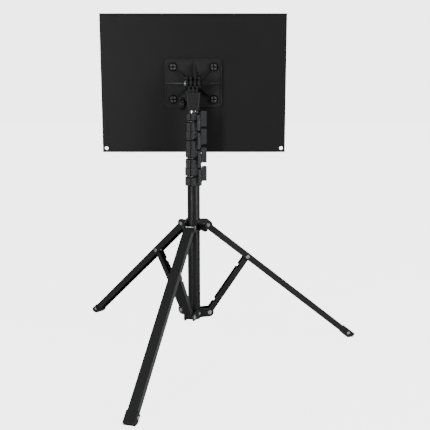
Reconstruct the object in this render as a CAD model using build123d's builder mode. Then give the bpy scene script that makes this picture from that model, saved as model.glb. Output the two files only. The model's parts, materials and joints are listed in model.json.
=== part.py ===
"""Portable music stand: a steel desk on a five-section column with a folding tripod.

Frame: millimetres, +Z up, origin on the column's axis at floor level.
The reader stands on the -Y side and faces +Y.  The rear leg reaches out on the +Y side.
Each piece is one node, modelled where it sits with the stand set up and the column collapsed.
"""

import os
from math import asin, atan2, cos, degrees, hypot, radians, sin, sqrt

from build123d import *

os.makedirs("parts", exist_ok=True)

# ---------------------------------------------------------------- driving dimensions
# Legs: azimuth of each from +X, all alike
leg_azimuths = {"rear": 73.8, "left": 193.8, "right": 313.8}
foot_reach = 376.5  # column axis to foot rivet
foot_rise = 11.0  # floor to foot rivet
collar_pin_r = 29.6
collar_pin_z = 294.2
hub_pin_r = 33.6
hub_pin_z = 90.1
leg_width, leg_depth, leg_top, leg_wall = 20.6, 14.5, 6.2, 1.0
leg_end_r = 7.4
shoe_back, shoe_tip, shoe_wall = 10.8, 16.5, 1.8  # either way from the foot rivet
brace_at = 122.4  # distance down the leg to the brace pin
brace_drop = 2.3  # the brace pin lies this far inside the leg's pin line
brace_width, brace_end_r, brace_wall = 15.4, 6.3, 1.2
brace_notch_at, brace_notch_r = 29.0, 3.6
pin_r, pin_fit = 2.5, 0.05
open_hole_r = 5.3  # the free brace ends need room while the legs fold

# Column: outside diameter of each section, from the ground up
tube_d = [28.0, 25.0, 22.0, 19.0, 16.0]
tube_wall = 1.2
tube_bottom = [79.0, 95.0, 107.0, 119.0, 131.0]
clamp_pitch = 40.0
clamp_bottom = 383.0
clamp_height = [39.6, 39.6, 39.6, 37.6]
clamp_r = [18.6, 17.3, 16.0, 14.7]
clamp_lower, clamp_groove = 18.5, 5.5  # lower tier, then the groove, then the upper tier
clamp_gap = 2.0
slit_azimuth = 74.0
pin_azimuth = 128.0  # lever hinge
lever_reach = 29.0
lever_height = 33.0
lever_rise = 6.0  # each lever tab stands this far above its clamp

# Head
flange_z, flange_r, flange_height = 541.2, 10.8, 6.4
spigot_r = 6.0
neck_z, neck_top_z = 547.8, 591.0
neck_foot_width, neck_width, neck_depth = 25.0, 32.6, 25.0
tilt_z, knuckle_r, knuckle, knuckle_play = 604.2, 11.0, 4.45, 0.35
finger_r, finger_eye = 8.8, 6.6  # the neck's fingers sit lower than the bracket's

# Desk
desk_width, desk_height, sheet = 407.0, 301.0, 1.2
desk_back_y = -38.0
desk_ledge, desk_lip, ledge_width = 45.0, 12.0, 360.0
desk_hem = 5.0
hole_r, hole_from_side, hole_from_bottom = 3.75, 8.5, 9.0
plate_width, plate_height, plate_thick = 125.5, 104.0, 3.4
screw_dx, screw_dz = 89.2, 70.0
screw_r = 4.0
pocket_r, pocket_lip = 11.5, 2.2

# ---------------------------------------------------------------- derived places
leg_length = hypot(foot_reach - collar_pin_r, collar_pin_z - foot_rise)
leg_tilt = atan2(foot_reach - collar_pin_r, collar_pin_z - foot_rise)  # from straight down
brace_top_r = collar_pin_r + brace_at * sin(leg_tilt) - brace_drop * cos(leg_tilt)
brace_top_z = collar_pin_z - brace_at * cos(leg_tilt) - brace_drop * sin(leg_tilt)
brace_length = hypot(brace_top_r - hub_pin_r, brace_top_z - hub_pin_z)
brace_tilt = atan2(brace_top_r - hub_pin_r, brace_top_z - hub_pin_z)  # from straight up
clamp_z = [clamp_bottom + clamp_pitch * i for i in range(4)]
desk_z = tilt_z - 1.5  # the desk hangs a little low on its bracket


def radial(azimuth):
    """Unit vector out from the column at this azimuth."""
    return Vector(cos(radians(azimuth)), sin(radians(azimuth)), 0)


def tangent(azimuth):
    """Unit vector across a leg at this azimuth."""
    return Vector(-sin(radians(azimuth)), cos(radians(azimuth)), 0)


def arm_point(azimuth, r, z, across=0.0):
    """A point in a leg's own upright plane, moved sideways by across."""
    return radial(azimuth) * r + tangent(azimuth) * across + Vector(0, 0, z)


def leg_plane(azimuth, across=0.0):
    """Origin on the collar pin, x down the leg, y square to it and outward."""
    down = radial(azimuth) * sin(leg_tilt) - Vector(0, 0, cos(leg_tilt))
    origin = arm_point(azimuth, collar_pin_r, collar_pin_z, across)
    return Plane(origin=origin, x_dir=down, z_dir=tangent(azimuth) * -1)


def brace_plane(azimuth):
    """Origin on the hub pin, x up the brace, y towards the column."""
    up = radial(azimuth) * sin(brace_tilt) + Vector(0, 0, cos(brace_tilt))
    return Plane(origin=arm_point(azimuth, hub_pin_r, hub_pin_z), x_dir=up, z_dir=tangent(azimuth) * -1)


def side_plane(azimuth, z, across=0.0):
    """Upright plane through the column axis: x outward, y up."""
    return Plane(origin=arm_point(azimuth, 0, z, across), x_dir=radial(azimuth), z_dir=tangent(azimuth) * -1)


rivet_turn = 63.0  # from one leg round to the rivet in its band


def save(piece, name):
    """Label a finished piece and write it as one STEP file."""
    piece.part.label = name
    export_step(piece.part, f"parts/{name}.step")


# ---------------------------------------------------------------- column tubes
def make_tube(name, outside_d, bottom, top):
    """Round steel tube on the column axis."""
    with BuildPart() as tube:
        with BuildSketch(Plane.XY.offset(bottom)):
            Circle(outside_d / 2)
            Circle(outside_d / 2 - tube_wall, mode=Mode.SUBTRACT)
        extrude(amount=top - bottom)
    save(tube, name)


def make_bush(name, outside_d, bottom, bore_d):
    """Plastic plug in a sliding tube's lower end; its rim guides the tube in the next one down."""
    with BuildPart() as bush:
        with BuildSketch(Plane.XY.offset(bottom - 3)):
            Circle(bore_d / 2 - 0.1)
        extrude(amount=3)
        with BuildSketch(Plane.XY.offset(bottom)):
            Circle(outside_d / 2 - tube_wall)
        extrude(amount=6)
        with BuildSketch(Plane.XY.offset(bottom - 3)):
            Circle(outside_d / 2 - tube_wall - 2.2)
        extrude(amount=9, mode=Mode.SUBTRACT)
    save(bush, name)


tube_tops = [clamp_z[0] + 18.0] + [z + 18.0 for z in clamp_z[1:]] + [flange_z]
make_tube("outer_tube", tube_d[0], tube_bottom[0], tube_tops[0])
for i in range(1, 5):
    make_tube(f"tube_{i + 1}", tube_d[i], tube_bottom[i], tube_tops[i])
    make_bush(f"bush_{i + 1}", tube_d[i], tube_bottom[i], tube_d[i - 1] - 2 * tube_wall)


# ---------------------------------------------------------------- column clamps
def pin_place(i):
    """Lever hinge of clamp i in plan."""
    reach = clamp_r[i] + 4.6
    return reach * cos(radians(pin_azimuth)), reach * sin(radians(pin_azimuth))


def make_clamp(i):
    """Split collar: its lower tier grips one tube, its upper tier closes on the next."""
    base, r = clamp_z[i], clamp_r[i]
    upper = clamp_lower + clamp_groove
    px, py = pin_place(i)
    with BuildPart() as clamp:
        # ring with a flat front pad that carries the jaws
        with BuildSketch(Plane.XY.offset(base)):
            Circle(r)
            with Locations(((r * 0.93 - 3.0) / 2, r / 2 + 0.6)):
                RectangleRounded(r * 0.93 + 3.0, r + 1.2, 1.5)
        extrude(amount=clamp_height[i])
        if i == 0:
            # the lowest clamp is eased round its bottom edge
            with BuildSketch(Plane.XZ):
                with BuildLine():
                    Polyline(
                        (0, base), (r - 1.6, base), (r + 8, base + 6),
                        (r + 8, base + 50), (0, base + 50), close=True,
                    )
                make_face()
            revolve(axis=Axis.Z, mode=Mode.INTERSECT)
        # the groove between the tiers
        with BuildSketch(Plane.XY.offset(base + clamp_lower)):
            Rectangle(60, 60)
            Circle(r - 3.2, mode=Mode.SUBTRACT)
        extrude(amount=clamp_groove, mode=Mode.SUBTRACT)
        # two ears hold the lever's pin
        for ear_z, ear_height in ((base + 2.0, 6.0), (base + clamp_height[i] - 8.6, 6.0)):
            with BuildSketch(Plane.XY.offset(ear_z)):
                with Locations((px, py)):
                    Circle(3.8)
                with BuildLine():
                    Polyline((px - 3.0, py - 2.3), (px + 2.9, py + 2.4), (-5, r * 0.8), (-r * 0.8, 5), close=True)
                make_face()
            extrude(amount=ear_height)
        # rib that carries the lever's ledge on across the ring
        with BuildSketch(Plane.XY.offset(base + clamp_height[i] - 12.0)):
            with BuildLine():
                Polyline((-2, r - 3), (-2, r + 1.0), (px + 4.4, r + 0.6), (px + 4.4, py - 1), close=True)
            make_face()
        extrude(amount=3.0)
        # bores: the lower one on this tube, the upper one runs on the next
        with BuildSketch(Plane.XY.offset(base)):
            Circle(tube_d[i] / 2)
        extrude(amount=18.0, mode=Mode.SUBTRACT)
        with BuildSketch(Plane.XY.offset(base)):
            Circle(tube_d[i + 1] / 2 + 0.25)
        extrude(amount=clamp_height[i], mode=Mode.SUBTRACT)
        # the slit
        with BuildSketch(Plane.XY.offset(base).rotated((0, 0, slit_azimuth))):
            with Locations((20, 0)):
                Rectangle(30, clamp_gap)
        extrude(amount=clamp_height[i], mode=Mode.SUBTRACT)
        with BuildSketch(Plane.XY.offset(base)):
            with Locations((px, py)):
                Circle(1.6)
        extrude(amount=clamp_height[i], mode=Mode.SUBTRACT)
    save(clamp, f"clamp_{i + 1}")
    return px, py


def make_clamp_fasteners(i):
    """The bolt across the slit, in the groove, and the lever's hinge pin."""
    base, r = clamp_z[i], clamp_r[i]
    px, py = pin_place(i)
    bolt = arm_point(slit_azimuth, r - 1.4, base + clamp_lower + clamp_groove / 2)
    along = Plane(origin=bolt, z_dir=tangent(slit_azimuth))
    with BuildPart() as fasteners:
        with BuildSketch(along.offset(-5.5)):
            Circle(1.3)
        extrude(amount=11)
        with BuildSketch(along.offset(-7.3)):
            Circle(2.1)
        extrude(amount=2.0)
        with BuildSketch(along.offset(5.1)):
            RegularPolygon(2.2, 6)
        extrude(amount=2.0)
        with BuildSketch(Plane.XY.offset(base + 2.0)):
            with Locations((px, py)):
                Circle(1.6)
        extrude(amount=clamp_height[i] - 4.6)
    save(fasteners, f"clamp_fasteners_{i + 1}")


def make_lever(i):
    """Flip lever on the clamp's left side; it swings out to open the clamp."""
    base = clamp_z[i]
    px, py = pin_place(i)
    low, high = base + 8.3, base + clamp_height[i] - 8.9
    paddle_low = base + clamp_height[i] + lever_rise - lever_height
    ledge_z = base + clamp_height[i] - 12.0
    inner = px - 4.3  # the tab starts here, clear of the ears
    with BuildPart() as lever:
        # barrel between the ears
        with BuildSketch(Plane.XY.offset(low)):
            with Locations((px, py)):
                Circle(3.8)
        extrude(amount=high - low)
        # ledge from the barrel out to the finger tab
        with BuildSketch(Plane.XY.offset(ledge_z)):
            with BuildLine():
                Polyline(
                    (px, py + 3.8), (-lever_reach + 1.0, py + 3.4), (-lever_reach + 1.0, py - 2.0),
                    (px, py - 3.4), close=True,
                )
            make_face()
        extrude(amount=3.0)
        # web behind the ledge
        with BuildSketch(Plane.XY.offset(low + 2)):
            with BuildLine():
                Polyline(
                    (px, py + 1.0), (inner - 1, py - 0.4), (inner - 1, py - 4.0), (px, py - 3.4), close=True
                )
            make_face()
        extrude(amount=high - low - 4)
        # lower half of the tab, set back
        with BuildSketch(Plane.XY.offset(paddle_low)):
            with BuildLine():
                Polyline(
                    (inner, py + 1.0), (-lever_reach + 0.2, py + 0.2), (-lever_reach - 0.6, py - 3.2),
                    (-lever_reach + 0.6, py - 5.6), (inner - 1, py - 4.6), close=True,
                )
            make_face()
        extrude(amount=lever_height - 1.5)
        # upper half stands proud
        with BuildSketch(Plane.XY.offset(ledge_z)):
            with BuildLine():
                Polyline(
                    (inner - 0.4, py + 3.8), (-lever_reach + 0.6, py + 3.0), (-lever_reach, py - 2.4),
                    (inner - 0.4, py - 2.4), close=True,
                )
            make_face()
        extrude(amount=12.0 + lever_rise)
        with BuildSketch(Plane.XY.offset(base)):
            with Locations((px, py)):
                Circle(1.65)
        extrude(amount=clamp_height[i], mode=Mode.SUBTRACT)
    save(lever, f"lever_{i + 1}")


for i in range(4):
    make_clamp(i)
    make_clamp_fasteners(i)
    make_lever(i)


# ---------------------------------------------------------------- hub at the column's foot
def make_arm_plates(prefix, z, low, high, pin_reach, end_r, gap, thick, inner_r):
    """Three stamped plates round the column; two neighbours hold each leg or brace between them."""
    azimuths = list(leg_azimuths.values())
    for k, azimuth in enumerate(azimuths):
        following = azimuth + 120
        edge = degrees(asin(gap / (inner_r + thick)))
        with BuildPart() as plate:
            for side, at in ((1, azimuth), (-1, following)):
                across = side * (gap + thick / 2)
                with BuildSketch(side_plane(at, z, across)):
                    with BuildLine():
                        Polyline(
                            (2, low), (pin_reach, -end_r), (pin_reach, end_r), (2, high), close=True
                        )
                    make_face()
                    with Locations((pin_reach, 0)):
                        Circle(end_r)
                extrude(amount=thick / 2, both=True)
                with BuildSketch(side_plane(at, z, across)):
                    with Locations((pin_reach, 0)):
                        Circle(pin_r)
                extrude(amount=thick, both=True, mode=Mode.SUBTRACT)
            # band round the tube between the two cheeks
            with BuildSketch(Plane.XY.offset(z + low)):
                with BuildLine():
                    band_r = inner_r + thick
                    start = (band_r * cos(radians(azimuth + edge)), band_r * sin(radians(azimuth + edge)))
                    CenterArc((0, 0), band_r, azimuth + edge, 120 - 2 * edge)
                    Line((0, 0), start)
                    last = radians(following - edge)
                    Line((band_r * cos(last), band_r * sin(last)), (0, 0))
                make_face()
            extrude(amount=high - low)
            with BuildSketch(Plane.XY.offset(z - 40)):
                Circle(inner_r)
            extrude(amount=80, mode=Mode.SUBTRACT)
            # keep each plate in its own third of the turn
            with BuildSketch(Plane.XY.offset(z - 40)):
                with BuildLine():
                    a, b = radial(azimuth) * 90, radial(following) * 90
                    m = radial(azimuth + 60) * 180
                    Polyline((0, 0), (a.X, a.Y), (m.X, m.Y), (b.X, b.Y), close=True)
                make_face()
            extrude(amount=80, mode=Mode.INTERSECT)
            # radial hole for the rivet that holds the plate to the tube
            out = radial(azimuth + rivet_turn)
            with BuildSketch(Plane(origin=(0, 0, z), x_dir=(0, 0, 1), z_dir=out)):
                Circle(1.8)
            extrude(amount=inner_r + thick + 3, mode=Mode.SUBTRACT)
        save(plate, f"{prefix}_plate_{k + 1}")


def make_rivets(name, azimuths, z, inner_r, thick):
    """Round-head rivets through the bands."""
    with BuildPart() as rivets:
        for azimuth in azimuths:
            out = radial(azimuth + rivet_turn)
            head = Plane(origin=out * (inner_r + thick) + Vector(0, 0, z), x_dir=(0, 0, 1), z_dir=out)
            with BuildSketch(head.offset(-thick)):
                Circle(1.8)
            extrude(amount=thick)
            with BuildSketch(head):
                Circle(3.4)
            extrude(amount=1.5, taper=25)
    save(rivets, name)


def make_pins(name, places, half, head_r, head_thick):
    """Cross pins with flat round heads; places is a list of (azimuth, r, z)."""
    with BuildPart() as pins:
        for azimuth, r, z in places:
            centre = Plane(origin=arm_point(azimuth, r, z), z_dir=tangent(azimuth))
            with BuildSketch(centre):
                Circle(pin_r)
            extrude(amount=half, both=True)
            for side in (1, -1):
                with BuildSketch(centre.offset(side * half)):
                    Circle(head_r)
                extrude(amount=side * head_thick, taper=15)
    save(pins, name)


hub_gap, hub_thick = 8.9, 2.0
make_arm_plates("hub", hub_pin_z, -10.6, 9.6, hub_pin_r, 9.8, hub_gap, hub_thick, tube_d[0] / 2)
make_rivets("hub_rivets", leg_azimuths.values(), hub_pin_z, tube_d[0] / 2, hub_thick)
hub_places = [(azimuth, hub_pin_r, hub_pin_z) for azimuth in leg_azimuths.values()]
make_pins("hub_pins", hub_places, hub_gap + hub_thick, 5.0, 1.3)

with BuildPart() as hub_plug:
    # plastic cap that closes the column's lower end
    with BuildSketch(Plane.XY.offset(tube_bottom[0] - 3)):
        Circle(tube_d[0] / 2)
    extrude(amount=3)
    with BuildSketch(Plane.XY.offset(tube_bottom[0])):
        Circle(tube_d[0] / 2 - tube_wall)
    extrude(amount=10)
    fillet(hub_plug.edges().group_by(Axis.Z)[0], 1.5)
save(hub_plug, "hub_plug")


# ---------------------------------------------------------------- sliding collar
collar_bore_r, sleeve_r = 15.8, 17.4
collar_low, collar_high = -11.0, 12.0
with BuildPart() as sleeve:
    with BuildSketch(Plane.XY.offset(collar_pin_z + collar_low - 1)):
        Circle(sleeve_r)
        Circle(collar_bore_r, mode=Mode.SUBTRACT)
    extrude(amount=collar_high - collar_low + 2)
    fillet(sleeve.faces().sort_by(Axis.Z)[-1].outer_wire().edges(), 0.8)
save(sleeve, "collar_sleeve")

collar_gap, collar_thick = 10.6, 1.6
make_arm_plates(
    "collar", collar_pin_z, collar_low, collar_high, collar_pin_r, 10.8, collar_gap, collar_thick, sleeve_r
)
make_rivets(
    "collar_rivets", [leg_azimuths["left"], leg_azimuths["right"]], collar_pin_z, sleeve_r, collar_thick
)
collar_places = [(azimuth, collar_pin_r, collar_pin_z) for azimuth in leg_azimuths.values()]
make_pins("collar_pins", collar_places, collar_gap + collar_thick, 4.4, 1.2)

# Thumb screw that locks the collar on the tube; its flat paddle stands nearly upright
knob_azimuth = leg_azimuths["rear"] + 60
knob_face = sleeve_r + collar_thick + 0.4
knob_z = collar_pin_z - 1.0
knob_out = radial(knob_azimuth)
knob_plane = Plane(origin=knob_out * knob_face + Vector(0, 0, knob_z), x_dir=tangent(knob_azimuth), z_dir=knob_out)
roll = radians(-12)
paddle_plane = Plane(
    origin=(0, 0, knob_z), x_dir=knob_out, z_dir=tangent(knob_azimuth) * -cos(roll) + Vector(0, 0, sin(roll))
)
with BuildPart() as collar_knob:
    with BuildSketch(knob_plane):
        Circle(5.6)
    extrude(amount=5.2)
    with BuildSketch(paddle_plane):
        with BuildLine():
            Polyline(
                (23.2, -5.4), (30.0, -8.8), (39.0, -9.4), (43.0, -3.0),
                (41.6, 6.8), (37.5, 9.2), (29.0, 8.2), (23.2, 5.4), close=True,
            )
        make_face()
    extrude(amount=2.8, both=True)
save(collar_knob, "collar_knob")


# ---------------------------------------------------------------- legs, feet and braces
def make_leg(name, azimuth):
    """Pressed steel channel, open on its inner side, with rounded cheeks at the collar."""
    with BuildPart() as leg:
        with BuildSketch(leg_plane(azimuth)):
            with Locations((leg_length / 2 + 3, leg_top - leg_depth / 2)):
                Rectangle(leg_length + 6, leg_depth)
            Circle(leg_end_r)
        extrude(amount=leg_width / 2, both=True)
        with BuildSketch(leg_plane(azimuth)):
            with Locations((leg_length / 2, leg_top - leg_wall - leg_depth / 2)):
                Rectangle(leg_length + 40, leg_depth)
        extrude(amount=leg_width / 2 - leg_wall, both=True, mode=Mode.SUBTRACT)
        # the web stops short of the collar
        with BuildSketch(leg_plane(azimuth)):
            with Locations((-1, 0)):
                Rectangle(14, 30)
        extrude(amount=leg_width / 2 - leg_wall, both=True, mode=Mode.SUBTRACT)
        # pin and rivet holes through both cheeks
        with BuildSketch(leg_plane(azimuth)):
            Circle(pin_r + pin_fit)
            with Locations((brace_at, -brace_drop)):
                Circle(pin_r + (pin_fit if azimuth == leg_azimuths["rear"] else 0))
            with Locations((leg_length, 0)):
                Circle(2.0)
        extrude(amount=leg_width, both=True, mode=Mode.SUBTRACT)
    save(leg, name)


def make_foot(name, azimuth):
    """Square rubber shoe over the leg's end, flat where it stands."""
    with BuildPart() as foot:
        with BuildSketch(leg_plane(azimuth)):
            with Locations((leg_length + (shoe_tip - shoe_back) / 2, leg_top - leg_depth / 2)):
                Rectangle(shoe_tip + shoe_back, leg_depth + 2 * shoe_wall)
        extrude(amount=leg_width / 2 + shoe_wall, both=True)
        fillet(foot.edges(), 1.5)
        with BuildSketch(leg_plane(azimuth)):
            with Locations((leg_length - 12, leg_top - leg_depth / 2)):
                Rectangle(36, leg_depth)
        extrude(amount=leg_width / 2, both=True, mode=Mode.SUBTRACT)
        with BuildSketch(leg_plane(azimuth)):
            with Locations((leg_length, 0)):
                Circle(2.0)
        extrude(amount=leg_width, both=True, mode=Mode.SUBTRACT)
        # level sole
        with BuildSketch(Plane.XY):
            with Locations((foot_reach * cos(radians(azimuth)), foot_reach * sin(radians(azimuth)))):
                Circle(60)
        extrude(amount=-20, mode=Mode.SUBTRACT)
    save(foot, name)


def make_foot_rivet(name, azimuth):
    """Rivet through the shoe and the leg."""
    with BuildPart() as rivet:
        centre = Plane(origin=arm_point(azimuth, foot_reach, foot_rise), z_dir=tangent(azimuth))
        with BuildSketch(centre):
            Circle(2.0)
        extrude(amount=leg_width / 2 + shoe_wall, both=True)
        for side in (1, -1):
            with BuildSketch(centre.offset(side * (leg_width / 2 + shoe_wall))):
                Circle(4.0)
            extrude(amount=side * 1.4, taper=20)
    save(rivet, name)


def make_brace(name, azimuth, top_hole_r):
    """Channel strut from the hub to the leg, with a relief notch near each end."""
    with BuildPart() as brace:
        with BuildSketch(brace_plane(azimuth)):
            with Locations((brace_length / 2, 0)):
                SlotCenterToCenter(brace_length, 2 * brace_end_r)
        extrude(amount=brace_width / 2, both=True)
        with BuildSketch(brace_plane(azimuth)):
            with Locations((brace_length / 2, brace_wall)):
                Rectangle(brace_length + 40, 2 * brace_end_r)
        extrude(amount=brace_width / 2 - brace_wall, both=True, mode=Mode.SUBTRACT)
        with BuildSketch(brace_plane(azimuth)):
            Circle(pin_r + pin_fit)
            with Locations((brace_length, 0)):
                Circle(top_hole_r)
            with Locations((brace_notch_at, brace_end_r - 0.8), (brace_length - brace_notch_at, brace_end_r - 0.8)):
                Circle(brace_notch_r)
        extrude(amount=brace_width, both=True, mode=Mode.SUBTRACT)
    save(brace, name)


for side, azimuth in leg_azimuths.items():
    make_leg(f"leg_{side}", azimuth)
    make_foot(f"foot_{side}", azimuth)
    make_foot_rivet(f"foot_rivet_{side}", azimuth)
    make_brace(f"brace_{side}", azimuth, pin_r if side == "rear" else open_hole_r)
    make_pins(f"brace_pin_{side}", [(azimuth, brace_top_r, brace_top_z)], leg_width / 2, 4.4, 1.3)


# ---------------------------------------------------------------- head
with BuildPart() as top_spigot:
    # turned flange with the spigot that carries the neck, and a stub pressed into the top tube
    with BuildSketch(Plane.XY.offset(flange_z - 20)):
        Circle(tube_d[4] / 2 - tube_wall)
    extrude(amount=20)
    with BuildSketch(Plane.XY.offset(flange_z)):
        Circle(flange_r)
    extrude(amount=flange_height)
    chamfer(top_spigot.edges().group_by(Axis.Z)[-1], 1.0)
    with BuildSketch(Plane.XY.offset(flange_z + flange_height)):
        Circle(spigot_r)
    extrude(amount=30)
save(top_spigot, "top_spigot")

with BuildPart() as neck:
    # block that widens upward
    with BuildSketch(Plane.XY.offset(neck_z)):
        RectangleRounded(neck_foot_width, neck_depth - 3, 4)
    with BuildSketch(Plane.XY.offset(neck_top_z - 5)):
        RectangleRounded(neck_width, neck_depth, 4)
    loft()
    # three fingers up to the tilt axis
    for x in (-2, 0, 2):
        with BuildSketch(Plane.YZ.offset(x * knuckle)):
            with Locations((0, tilt_z)):
                Circle(finger_eye)
            with Locations((0, (neck_top_z + tilt_z) / 2 - 8.5)):
                Rectangle(2 * finger_r, tilt_z - neck_top_z + 7)
        extrude(amount=knuckle / 2 - knuckle_play, both=True)
    with BuildSketch(Plane.YZ):
        with Locations((0, tilt_z)):
            Circle(3.05)
    extrude(amount=40, both=True, mode=Mode.SUBTRACT)
    with BuildSketch(Plane.XY.offset(neck_z)):
        Circle(spigot_r + 0.05)
    extrude(amount=31.5, mode=Mode.SUBTRACT)
save(neck, "neck")

# Lobed screw that clamps the neck on the spigot
neck_knob_azimuth = -8.0
neck_knob_z = neck_z + 13.2
knob_out = radial(neck_knob_azimuth)
knob_plane = Plane(origin=knob_out * 15.2 + Vector(0, 0, neck_knob_z), x_dir=(0, 0, 1), z_dir=knob_out)
with BuildPart() as neck_knob:
    with BuildSketch(knob_plane):
        Circle(6.0)
    extrude(amount=3.2)
    with BuildSketch(knob_plane.offset(3.2)):
        Circle(10.6)
        with PolarLocations(9.8, 6):
            Circle(4.0)
    extrude(amount=8.4)
    fillet(neck_knob.faces().sort_by(Axis(knob_plane.origin, knob_out))[-1].edges(), 1.2)
save(neck_knob, "neck_knob")


# ---------------------------------------------------------------- desk bracket
plate_y = desk_back_y
with BuildPart() as bracket:
    back = Plane(origin=(0, plate_y, tilt_z), x_dir=(-1, 0, 0), z_dir=(0, 1, 0))
    with BuildSketch(back):
        RectangleRounded(plate_width, plate_height, 10)
    extrude(amount=plate_thick)
    # raised rim
    with BuildSketch(back.offset(plate_thick)):
        RectangleRounded(plate_width, plate_height, 10)
        RectangleRounded(plate_width - 5, plate_height - 5, 7.5, mode=Mode.SUBTRACT)
    extrude(amount=1.6)
    # screw pockets
    with BuildSketch(back.offset(plate_thick)):
        with GridLocations(screw_dx, screw_dz, 2, 2):
            Circle(pocket_r)
            Circle(pocket_r - 1.6, mode=Mode.SUBTRACT)
    extrude(amount=pocket_lip)
    # core behind the knuckles
    with BuildSketch(back.offset(plate_thick)):
        Rectangle(33, 24)
    with BuildSketch(back.offset(-plate_y - 12.6)):
        Rectangle(31.2, 20)
    loft()
    # four fingers round the tilt bolt
    for x in (-3, -1, 1, 3):
        with BuildSketch(Plane.YZ.offset(x * knuckle)):
            with Locations((0, tilt_z)):
                Circle(knuckle_r)
            with Locations((-8, tilt_z)):
                Rectangle(16, 2 * knuckle_r - 2)
            with Locations((-5.5, tilt_z + 7.2)):
                Rectangle(21, 14.4)
        extrude(amount=knuckle / 2, both=True)
    # spike rib up to the top edge
    with BuildSketch(back.offset(plate_thick)):
        with BuildLine():
            Polyline((-11, 8), (11, 8), (0, plate_height / 2 - 3), close=True)
        make_face()
    with BuildSketch(back.offset(-plate_y - 12.6)):
        with BuildLine():
            Polyline((-7, 8), (7, 8), (0, 12), close=True)
        make_face()
    loft()
    # ribs out to the side edges
    for side in (1, -1):
        with BuildSketch(Plane.XY.offset(tilt_z)):
            with BuildLine():
                Polyline(
                    (side * 13, plate_y + plate_thick - 0.5), (side * (plate_width / 2 - 2), plate_y + 3.0),
                    (side * (plate_width / 2 - 2), plate_y + 5.0), (side * 15, -13), (side * 13, -13), close=True,
                )
            make_face()
        extrude(amount=1.6, both=True)
    # ribs out to the screw pockets
    for sx in (1, -1):
        for sz in (1, -1):
            reach = Vector(sx * (screw_dx / 2 - 8.2), 0, sz * (screw_dz / 2 - 6.4))
            foot_plane = Plane(origin=(0, plate_y + plate_thick - 0.5, tilt_z), x_dir=(1, 0, 0), z_dir=(0, 1, 0))
            with BuildSketch(foot_plane):
                with BuildLine():
                    Polyline(
                        (sx * 12, -sz * 9), (sx * 15, -sz * 5), (reach.X, -reach.Z), close=True
                    )
                make_face()
            extrude(amount=7.5, taper=0)
    with BuildSketch(Plane.YZ):
        with Locations((0, tilt_z)):
            Circle(3.0)
    extrude(amount=40, both=True, mode=Mode.SUBTRACT)
    with BuildSketch(back):
        with GridLocations(screw_dx, screw_dz, 2, 2):
            Circle(screw_r / 2)
    extrude(amount=plate_thick, mode=Mode.SUBTRACT)
save(bracket, "bracket")

with BuildPart() as bracket_screws:
    # pan-head machine screws through the plate and the desk, with a nut on the reading side
    with BuildSketch(back.offset(plate_thick)):
        with GridLocations(screw_dx, screw_dz, 2, 2):
            Circle(8.0)
    extrude(amount=3.0)
    fillet(bracket_screws.faces().sort_by(Axis.Y)[-1:].edges(), 1.4)
    with BuildSketch(back.offset(plate_thick + 1.2)):
        with GridLocations(screw_dx, screw_dz, 2, 2):
            Rectangle(8.5, 1.8)
            Rectangle(1.8, 8.5)
    extrude(amount=3.0, mode=Mode.SUBTRACT)
    with BuildSketch(back.offset(-sheet - 2.6)):
        with GridLocations(screw_dx, screw_dz, 2, 2):
            Circle(screw_r / 2)
    extrude(amount=plate_thick + sheet + 2.6)
    with BuildSketch(back.offset(-sheet - 2.6)):
        with GridLocations(screw_dx, screw_dz, 2, 2):
            RegularPolygon(4.2, 6)
    extrude(amount=2.6)
save(bracket_screws, "bracket_screws")

stack = 7 * knuckle / 2
with BuildPart() as tilt_bolt:
    # bolt through the knuckles, with a domed head and washer on the right
    with BuildSketch(Plane.YZ.offset(-stack - 16)):
        with Locations((0, tilt_z)):
            Circle(3.0)
    extrude(amount=2 * stack + 16)
    with BuildSketch(Plane.YZ.offset(stack)):
        with Locations((0, tilt_z)):
            Circle(6.6)
    extrude(amount=1.4)
    with BuildSketch(Plane.YZ.offset(stack + 1.4)):
        with Locations((0, tilt_z)):
            Circle(5.2)
    extrude(amount=2.2, taper=20)
save(tilt_bolt, "tilt_bolt")

with BuildPart() as tilt_knob:
    # hand nut on the left
    with BuildSketch(Plane.YZ.offset(-stack - 0.4)):
        with Locations((0, tilt_z)):
            Circle(5.5)
    extrude(amount=-4)
    with BuildSketch(Plane.YZ.offset(-stack - 4.4)):
        with Locations((0, tilt_z)):
            Circle(7.5)
    extrude(amount=-17)
    with BuildSketch(Plane.YZ.offset(-stack - 4.4)):
        with Locations((0, tilt_z)):
            with PolarLocations(7.9, 6):
                Circle(1.5)
    extrude(amount=-17, mode=Mode.SUBTRACT)
    with BuildSketch(Plane.YZ.offset(-stack)):
        with Locations((0, tilt_z)):
            Circle(3.05)
    extrude(amount=-16.2, mode=Mode.SUBTRACT)
save(tilt_knob, "tilt_knob")


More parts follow.
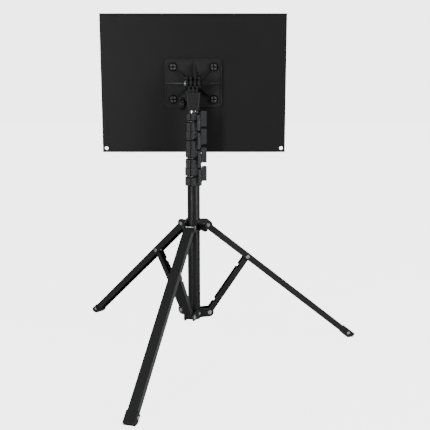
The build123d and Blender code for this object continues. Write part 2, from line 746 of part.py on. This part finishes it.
# ---------------------------------------------------------------- desk
desk_back = Plane(origin=(0, desk_back_y, desk_z), x_dir=(-1, 0, 0), z_dir=(0, 1, 0))
with BuildPart() as desk:
    # back sheet
    with BuildSketch(desk_back):
        RectangleRounded(desk_width, desk_height, 2)
    extrude(amount=-sheet)
    # hems folded back along the top and bottom edges
    for sign in (1, -1):
        with BuildSketch(desk_back):
            with Locations((0, sign * (desk_height / 2 - desk_hem / 2))):
                Rectangle(desk_width - 36, desk_hem)
        extrude(amount=sheet)
    # shelf for the sheet music, on the reading side, with its upturned lip
    with BuildSketch(Plane.YZ):
        with BuildLine():
            low = desk_z - desk_height / 2
            front = desk_back_y - sheet - desk_ledge
            Polyline(
                (desk_back_y - sheet, low), (front, low), (front, low + desk_lip),
                (front + sheet, low + desk_lip), (front + sheet, low + sheet),
                (desk_back_y - sheet, low + sheet), close=True,
            )
        make_face()
    extrude(amount=ledge_width / 2, both=True)
    # corner holes
    with BuildSketch(desk_back):
        for side in (1, -1):
            with Locations((side * (desk_width / 2 - hole_from_side), -desk_height / 2 + hole_from_bottom)):
                Circle(hole_r)
    extrude(amount=-sheet, mode=Mode.SUBTRACT)
    with BuildSketch(back):
        with GridLocations(screw_dx, screw_dz, 2, 2):
            Circle(screw_r / 2)
    extrude(amount=-sheet, mode=Mode.SUBTRACT)
save(desk, "desk")

print("leg length", round(leg_length, 2), "tilt", round(degrees(leg_tilt), 3))
print("brace length", round(brace_length, 2), "tilt", round(degrees(brace_tilt), 3))
print("brace top", round(brace_top_r, 2), round(brace_top_z, 2))
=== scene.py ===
import json
from math import cos, pi, radians, sin

import bpy
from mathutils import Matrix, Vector

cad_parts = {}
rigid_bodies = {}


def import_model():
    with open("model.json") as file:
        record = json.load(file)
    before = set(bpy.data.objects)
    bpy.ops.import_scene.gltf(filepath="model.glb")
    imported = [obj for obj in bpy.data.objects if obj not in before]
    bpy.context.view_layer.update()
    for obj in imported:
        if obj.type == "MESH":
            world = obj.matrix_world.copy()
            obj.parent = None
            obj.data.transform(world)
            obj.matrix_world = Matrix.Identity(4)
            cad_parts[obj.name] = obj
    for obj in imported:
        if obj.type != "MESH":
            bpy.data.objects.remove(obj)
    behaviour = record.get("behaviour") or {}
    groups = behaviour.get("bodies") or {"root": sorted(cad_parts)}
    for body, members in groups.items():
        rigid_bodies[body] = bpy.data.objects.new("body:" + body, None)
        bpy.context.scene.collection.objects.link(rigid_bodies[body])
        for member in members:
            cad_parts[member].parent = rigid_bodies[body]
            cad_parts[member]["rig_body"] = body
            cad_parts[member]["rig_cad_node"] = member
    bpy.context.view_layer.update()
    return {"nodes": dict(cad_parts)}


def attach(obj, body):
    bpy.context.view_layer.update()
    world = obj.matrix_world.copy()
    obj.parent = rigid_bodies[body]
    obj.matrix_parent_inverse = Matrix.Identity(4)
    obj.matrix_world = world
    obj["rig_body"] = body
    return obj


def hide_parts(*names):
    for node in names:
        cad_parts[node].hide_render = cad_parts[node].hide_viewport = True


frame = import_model()

# Camera
# It looks at the back of the stand, a little above the column's middle and tipped down.
tipped_down = 0.196
bpy.ops.object.camera_add(
    location=(-0.0473, 1.6227, 0.6383), rotation=(pi / 2 - tipped_down, 0, pi)
)
camera = bpy.context.object
camera.data.lens = 62.24
camera.data.sensor_width = 36
bpy.context.scene.camera = camera


# Column tubes
# Five drawn steel tubes, one inside another, coated satin black after cutting.
# Only the outer one shows while the column is down.
def coat(name, colour, rough, grain=900.0, depth=0.06, spread=0.06, specular=0.5):
    """Baked powder coat: fine orange-peel relief and a slightly uneven sheen."""
    material = bpy.data.materials.new(name)
    material.use_nodes = True
    nodes, links = material.node_tree.nodes, material.node_tree.links
    shader = nodes["Principled BSDF"]
    shader.inputs["Specular IOR Level"].default_value = specular
    place = nodes.new("ShaderNodeTexCoord")
    peel = nodes.new("ShaderNodeTexNoise")
    peel.inputs["Scale"].default_value = grain
    peel.inputs["Detail"].default_value = 3.0
    cloud = nodes.new("ShaderNodeTexNoise")
    cloud.inputs["Scale"].default_value = grain / 45
    links.new(place.outputs["Object"], peel.inputs["Vector"])
    links.new(place.outputs["Object"], cloud.inputs["Vector"])
    tint = nodes.new("ShaderNodeMapRange")
    tint.inputs["To Min"].default_value = 0.88
    tint.inputs["To Max"].default_value = 1.12
    links.new(cloud.outputs["Fac"], tint.inputs["Value"])
    mix = nodes.new("ShaderNodeVectorMath")
    mix.operation = "SCALE"
    mix.inputs[0].default_value = colour
    links.new(tint.outputs["Result"], mix.inputs["Scale"])
    links.new(mix.outputs["Vector"], shader.inputs["Base Color"])
    sheen = nodes.new("ShaderNodeMapRange")
    sheen.inputs["To Min"].default_value = rough - spread
    sheen.inputs["To Max"].default_value = rough + spread
    links.new(peel.outputs["Fac"], sheen.inputs["Value"])
    links.new(sheen.outputs["Result"], shader.inputs["Roughness"])
    relief = nodes.new("ShaderNodeBump")
    relief.inputs["Strength"].default_value = depth
    relief.inputs["Distance"].default_value = 0.0004
    links.new(peel.outputs["Fac"], relief.inputs["Height"])
    links.new(relief.outputs["Normal"], shader.inputs["Normal"])
    return material


def paint(piece, material):
    """Makes this the piece's only material."""
    piece.data.materials.clear()
    piece.data.materials.append(material)


def give(node, material):
    """A CAD node that is already right keeps its shape and takes this finish."""
    paint(frame["nodes"][node], material)


tube_coat = coat("tube satin black", (0.030, 0.031, 0.033), 0.34)
for node in ("outer_tube", "tube_2", "tube_3", "tube_4", "tube_5"):
    give(node, tube_coat)


# Hub at the column's foot
# Three stamped steel plates are riveted round the outer tube.
# Two neighbours make the fork that holds each brace's lower pin.
def select_only(piece):
    """Makes this the one selected and active object."""
    bpy.ops.object.select_all(action="DESELECT")
    piece.select_set(True)
    bpy.context.view_layer.objects.active = piece


def tidy(piece, edge, steps=2):
    """Bevels a finished mesh, smooths it and keeps its flat faces flat."""
    select_only(piece)
    bevel = piece.modifiers.new("edges", "BEVEL")
    bevel.width = edge
    bevel.segments = steps
    bevel.limit_method = "ANGLE"
    bevel.angle_limit = radians(35)
    bpy.ops.object.modifier_apply(modifier="edges")
    bpy.ops.object.shade_smooth_by_angle(angle=radians(32))
    flat = piece.modifiers.new("flat faces", "WEIGHTED_NORMAL")
    flat.keep_sharp = True
    bpy.ops.object.modifier_apply(modifier="flat faces")


def eased(node, body, finish, edge=0.0004, steps=2):
    """Copies a pressed or moulded CAD piece, merges it, and rounds its sharp edges."""
    select_only(frame["nodes"][node])
    bpy.ops.object.duplicate()
    piece = bpy.context.object
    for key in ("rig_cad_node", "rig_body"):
        if key in piece:
            del piece[key]
    piece.parent = None
    piece.name = node + "_finished"
    bpy.ops.object.mode_set(mode="EDIT")
    bpy.ops.mesh.select_all(action="SELECT")
    bpy.ops.mesh.remove_doubles(threshold=0.00001)
    bpy.ops.mesh.dissolve_limited(angle_limit=radians(1.0))
    bpy.ops.object.mode_set(mode="OBJECT")
    tidy(piece, edge, steps)
    paint(piece, finish)
    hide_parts(node)
    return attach(piece, body)


pressed_coat = coat("pressed steel black coat", (0.038, 0.039, 0.040), 0.40)
for k in (1, 2, 3):
    eased(f"hub_plate_{k}", "column", pressed_coat)


def bright(name, colour, rough, scratch=0.08, metal=1.0):
    """Zinc or chrome plate with faint turning marks."""
    material = bpy.data.materials.new(name)
    material.use_nodes = True
    nodes, links = material.node_tree.nodes, material.node_tree.links
    shader = nodes["Principled BSDF"]
    shader.inputs["Metallic"].default_value = metal
    shader.inputs["Base Color"].default_value = (*colour, 1)
    place = nodes.new("ShaderNodeTexCoord")
    marks = nodes.new("ShaderNodeTexNoise")
    marks.inputs["Scale"].default_value = 1400.0
    marks.inputs["Detail"].default_value = 4.0
    links.new(place.outputs["Object"], marks.inputs["Vector"])
    sheen = nodes.new("ShaderNodeMapRange")
    sheen.inputs["To Min"].default_value = rough - scratch
    sheen.inputs["To Max"].default_value = rough + scratch
    links.new(marks.outputs["Fac"], sheen.inputs["Value"])
    links.new(sheen.outputs["Result"], shader.inputs["Roughness"])
    return material


zinc = bright("bright zinc", (0.82, 0.82, 0.81), 0.34, metal=0.55)
for node in ("hub_rivets", "hub_pins"):
    eased(node, "column", zinc, edge=0.0005)

moulding = coat("black moulding", (0.034, 0.035, 0.036), 0.46, grain=1500, depth=0.12)
give("hub_plug", moulding)


# Collar
# Three stamped plates riveted on a sleeve that slides on the outer tube; they carry the leg pins.
# Pins and rivets are bright zinc. A plastic thumb screw with an upright paddle locks it.
for k in (1, 2, 3):
    eased(f"collar_plate_{k}", "collar", pressed_coat)
give("collar_sleeve", pressed_coat)
for node in ("collar_rivets", "collar_pins"):
    eased(node, "collar", zinc, edge=0.0005)
knob_black = coat("knob black", (0.022, 0.022, 0.023), 0.3, grain=1800, depth=0.04)
eased("collar_knob", "collar_knob", knob_black, edge=0.0008, steps=3)


# Legs, feet and braces
# Legs and braces are pressed steel channels, open on the inner side and powder coated.
# Each foot is a square rubber shoe, riveted on; zinc pins join the braces to the legs.
rubber = coat("shoe rubber", (0.026, 0.026, 0.026), 0.62, grain=1300, depth=0.18)
for side in ("rear", "left", "right"):
    body = f"leg_{side}"
    eased(f"leg_{side}", body, pressed_coat, edge=0.0008, steps=3)
    eased(f"foot_{side}", body, rubber, edge=0.0016, steps=4)
    eased(f"foot_rivet_{side}", body, zinc, edge=0.0004)
    eased(f"brace_{side}", f"brace_{side}", pressed_coat, edge=0.0004)
    pin_body = "brace_rear" if side == "rear" else body
    eased(f"brace_pin_{side}", pin_body, zinc, edge=0.0005)


# Column clamps
# Four split rings in dark grey glass-filled plastic, one on top of each tube but the last.
# A black bolt and a flip lever close each; the guide bushes ride on the inner tubes' lower ends.
black_oxide = bright("black oxide screw", (0.13, 0.13, 0.135), 0.42)
clamp_grey = coat("clamp moulding", (0.075, 0.077, 0.080), 0.44, grain=1500, depth=0.10)
holders = ("column", "stage_2", "stage_3", "stage_4")
for k, body in enumerate(holders, start=1):
    eased(f"clamp_{k}", body, clamp_grey, edge=0.0005)
    eased(f"clamp_fasteners_{k}", body, black_oxide, edge=0.0003)
    eased(f"lever_{k}", f"lever_{k}", clamp_grey, edge=0.0006, steps=3)
for node in ("bush_2", "bush_3", "bush_4", "bush_5"):
    give(node, moulding)


# Head
# A turned and chromed spigot on the top tube, and a moulded neck that clamps on it.
# The neck's three fingers stand between the bracket's four, on the tilt bolt.
chrome = bright("polished chrome", (0.90, 0.90, 0.91), 0.12, scratch=0.04)
eased("top_spigot", "stage_5", chrome, edge=0.0005)
eased("neck", "head", moulding, edge=0.0008, steps=3)


# Neck knob
# A six-lobed hand screw in semi-gloss black plastic, on the neck's right.
# Its lobes are merged into the disc, its face is dished, and a short round boss meets the neck.
def rod(radius, length, place, turn, sides=64):
    """A cylinder of this many sides, about this place."""
    bpy.ops.mesh.primitive_cylinder_add(
        vertices=sides, radius=radius, depth=length, location=place, rotation=turn
    )
    return bpy.context.object


def join(first, *others):
    """Makes one object of several."""
    bpy.ops.object.select_all(action="DESELECT")
    for other in (first, *others):
        other.select_set(True)
    bpy.context.view_layer.objects.active = first
    bpy.ops.object.join()
    return first


def cut(piece, tool, operation="DIFFERENCE"):
    """Boolean with a tool that is then thrown away."""
    step = piece.modifiers.new("cut", "BOOLEAN")
    step.operation = operation
    step.solver = "EXACT"
    step.object = tool
    select_only(piece)
    bpy.ops.object.modifier_apply(modifier="cut")
    bpy.data.objects.remove(tool)


def stand_in(piece, name, node, body):
    """Puts a hand-made piece's origin at zero and lets it stand in for its CAD node."""
    select_only(piece)
    bpy.ops.object.transform_apply(location=True, rotation=True, scale=True)
    piece.name = name
    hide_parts(node)
    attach(piece, body)


knob_azimuth, knob_height, knob_reach = radians(-8), 0.561, 0.0152
neck_out = Vector((cos(knob_azimuth), sin(knob_azimuth), 0))
neck_turn = neck_out.to_track_quat("Z", "X").to_euler()
neck_at = Vector((0, 0, knob_height)) + neck_out * knob_reach
disc_thick = 0.0084
disc_at = neck_at + neck_out * 0.0074
lobes = rod(0.0106, disc_thick, disc_at, neck_turn, sides=96)
for k in range(6):
    turn = radians(60 * k)
    side = Vector((cos(turn), sin(turn), 0)) * 0.0098
    side.rotate(neck_turn)
    cut(lobes, rod(0.0040, disc_thick, disc_at + side, neck_turn, sides=40), "UNION")
cut(lobes, rod(0.0068, 0.0024, neck_at + neck_out * 0.0116, neck_turn))
tidy(lobes, 0.0009, steps=3)
boss = rod(0.0060, 0.0034, neck_at + neck_out * 0.0017, neck_turn)
tidy(boss, 0.0005)
neck_knob = join(lobes, boss)
paint(neck_knob, knob_black)
stand_in(neck_knob, "neck_knob_finished", "neck_knob", "neck_knob")


# Desk bracket
# A black glass-filled moulding: a rimmed plate with a pocket at each screw.
# Its ribs run in to the four fingers round the tilt bolt.
eased("bracket", "desk", moulding, edge=0.0005)


# Bracket screws
# Four blackened pan-head machine screws with cross recesses, on washers painted near-black as the
# shade in the screw pockets. A near-black sheet at the bottom of each cross recess is painted
# shade.
# Each goes through the plate and the desk to a nut on the reading side.
def slab(size, place):
    """A box of this size at this place, with its scale applied."""
    bpy.ops.mesh.primitive_cube_add(size=1, location=place)
    box = bpy.context.object
    box.scale = size
    bpy.ops.object.transform_apply(location=True, rotation=False, scale=True)
    return box


screw_steel = bright("blackened screw heads", (0.20, 0.20, 0.205), 0.5, metal=0.8)
# Near-black and barely glossy: painted shade for the screw pockets round the washers and for the
# cross recesses.
pocket_and_recess_shade_black = coat("painted pocket and recess shade black", (0.006, 0.006, 0.006), 0.7, specular=0.15)
bracket_mid = 0.6042
screw_x, screw_rise = 0.0446, 0.035
head_wide = 0.0134
recess_long, recess_wide = 0.0180, 0.0024
along_y = (pi / 2, 0, 0)
screws = []
washers_and_recess_shade = []
for x in (screw_x, -screw_x):
    for z in (bracket_mid + screw_rise, bracket_mid - screw_rise):
        # The washer is real, but its near-black colour is painted pocket shade.
        washers_and_recess_shade.append(rod(0.0098, 0.0008, (x, -0.0342, z), along_y))
        head = rod(0.0070, 0.0030, (x, -0.0331, z), along_y)
        for wide, tall in ((recess_long, recess_wide), (recess_wide, recess_long)):
            cut(head, slab((wide, 0.0024, tall), (x, -0.0319, z)))
            # A thin near-black sheet at the bottom of each recess arm is painted shade.
            recess_shade_size = (min(wide, head_wide), 0.0006, min(tall, head_wide))
            washers_and_recess_shade.append(slab(recess_shade_size, (x, -0.0327, z)))
        tidy(head, 0.0007, steps=3)
        shank = rod(0.0020, 0.0072, (x, -0.0382, z), along_y, sides=32)
        nut = rod(0.0042, 0.0026, (x, -0.0405, z), along_y, sides=6)
        tidy(nut, 0.0004)
        screws += [head, shank, nut]
screws = join(*screws)
screws.data.materials.append(screw_steel)
washers_and_recess_shade = join(*washers_and_recess_shade)
washers_and_recess_shade.data.materials.append(pocket_and_recess_shade_black)
stand_in(join(screws, washers_and_recess_shade), "bracket_screws_finished", "bracket_screws", "desk")


# Tilt bolt and its hand nut
# A zinc bolt through the fingers; the hand nut on the left is fluted plastic with a narrower nose.
eased("tilt_bolt", "desk", zinc, edge=0.0004)
eased("tilt_knob", "tilt_knob", knob_black, edge=0.0007, steps=3)


# Desk
# One folded steel sheet with a hole in each lower corner, powder coated matt black.
# Its top and bottom edges are hemmed flat on the back, where the bracket is.
# A ledge with an upturned lip stands out on the reading side, at the bottom.
desk_coat = coat("desk matt black coat", (0.0265, 0.0268, 0.0268), 0.5, grain=700, specular=0.35)
sheet_y, desk_mid = -0.0386, 0.6027
hole_x, hole_z = 0.195, 0.4612
sheet = slab((0.407, 0.0012, 0.301), (0, sheet_y, desk_mid))
for side in (1, -1):
    corner = (side * hole_x, sheet_y, hole_z)
    cut(sheet, rod(0.00375, 0.01, corner, along_y, sides=48))
tidy(sheet, 0.0003)
hems = []
for side in (1, -1):
    hem = slab((0.371, 0.00118, 0.005), (0, -0.0374, desk_mid + side * 0.148))
    tidy(hem, 0.00055, steps=3)
    hems.append(hem)

# the ledge is drawn as an L in one plane, thickened, and rounded at its bend
bpy.ops.mesh.primitive_plane_add(size=1, location=(0, -0.0617, 0.4528))
ledge = bpy.context.object
ledge.scale = (0.36, 0.0438, 1)
bpy.ops.object.transform_apply(location=True, rotation=False, scale=True)
bpy.ops.object.mode_set(mode="EDIT")
bpy.ops.mesh.select_all(action="DESELECT")
bpy.ops.object.mode_set(mode="OBJECT")
for line in ledge.data.edges:
    line.select = all(ledge.data.vertices[v].co.y < -0.08 for v in line.vertices)
bpy.ops.object.mode_set(mode="EDIT")
bpy.ops.mesh.select_mode(type="EDGE")
bpy.ops.mesh.extrude_region_move(TRANSFORM_OT_translate={"value": (0, 0, 0.0111)})
bpy.ops.object.mode_set(mode="OBJECT")
skin = ledge.modifiers.new("sheet", "SOLIDIFY")
skin.thickness = 0.0011
skin.offset = 0
bpy.ops.object.modifier_apply(modifier="sheet")
tidy(ledge, 0.0005, steps=3)
desk = join(sheet, ledge, *hems)
paint(desk, desk_coat)
stand_in(desk, "desk_finished", "desk", "desk")


# Floor and backdrop
# A pale floor that glows as brightly as the backdrop, so that hardly any horizon shows.
# The stand is lit by a much dimmer world, a little brighter behind it, and three soft lamps.
backdrop = 4.0
dim_behind, dim_in_front = 0.6, 0.1
bpy.ops.mesh.primitive_plane_add(size=14, location=(0, 0, 0))
floor = bpy.context.object
floor.name = "floor"
paper = bpy.data.materials.new("pale floor")
paper.use_nodes = True
shader = paper.node_tree.nodes["Principled BSDF"]
shader.inputs["Base Color"].default_value = (0.9, 0.9, 0.9, 1)
shader.inputs["Roughness"].default_value = 0.95
shader.inputs["Specular IOR Level"].default_value = 0.0
shader.inputs["Emission Color"].default_value = (1, 1, 1, 1)
shader.inputs["Emission Strength"].default_value = backdrop
floor.data.materials.append(paper)
floor.visible_diffuse = False
floor.visible_glossy = False

world = bpy.data.worlds.new("studio")
bpy.context.scene.world = world
world.use_nodes = True
nodes, links = world.node_tree.nodes, world.node_tree.links
seen = nodes["Background"]
seen.inputs["Color"].default_value = (1, 1, 1, 1)
seen.inputs["Strength"].default_value = backdrop
dim = nodes.new("ShaderNodeBackground")
dim.inputs["Color"].default_value = (1, 1, 1, 1)
place = nodes.new("ShaderNodeTexCoord")
axes = nodes.new("ShaderNodeSeparateXYZ")
fade = nodes.new("ShaderNodeMapRange")
fade.inputs["From Min"].default_value = -0.75
fade.inputs["From Max"].default_value = -0.15
fade.inputs["To Min"].default_value = dim_behind
fade.inputs["To Max"].default_value = dim_in_front
links.new(place.outputs["Generated"], axes.inputs["Vector"])
links.new(axes.outputs["Y"], fade.inputs["Value"])
links.new(fade.outputs["Result"], dim.inputs["Strength"])
rays = nodes.new("ShaderNodeLightPath")
pick = nodes.new("ShaderNodeMixShader")
links.new(rays.outputs["Is Camera Ray"], pick.inputs[0])
links.new(dim.outputs["Background"], pick.inputs[1])
links.new(seen.outputs["Background"], pick.inputs[2])
links.new(pick.outputs["Shader"], nodes["World Output"].inputs["Surface"])


def softbox(name, place, target, width, height, power):
    """A rectangular light aimed at a point."""
    bpy.ops.object.light_add(type="AREA", location=place)
    lamp = bpy.context.object
    lamp.name = name
    lamp.data.shape = "RECTANGLE"
    lamp.data.size = width
    lamp.data.size_y = height
    lamp.data.energy = power
    lamp.rotation_euler = (Vector(target) - Vector(place)).to_track_quat("-Z", "Y").to_euler()


aim = (0, 0, 0.4)
softbox("left box", (1.2, 1.75, 0.7), aim, 0.35, 1.6, 16.5)
softbox("right box", (-1.75, 1.0, 0.7), aim, 0.45, 1.6, 20)
softbox("top box", (0.0, 0.9, 2.2), aim, 1.2, 0.8, 0.8)
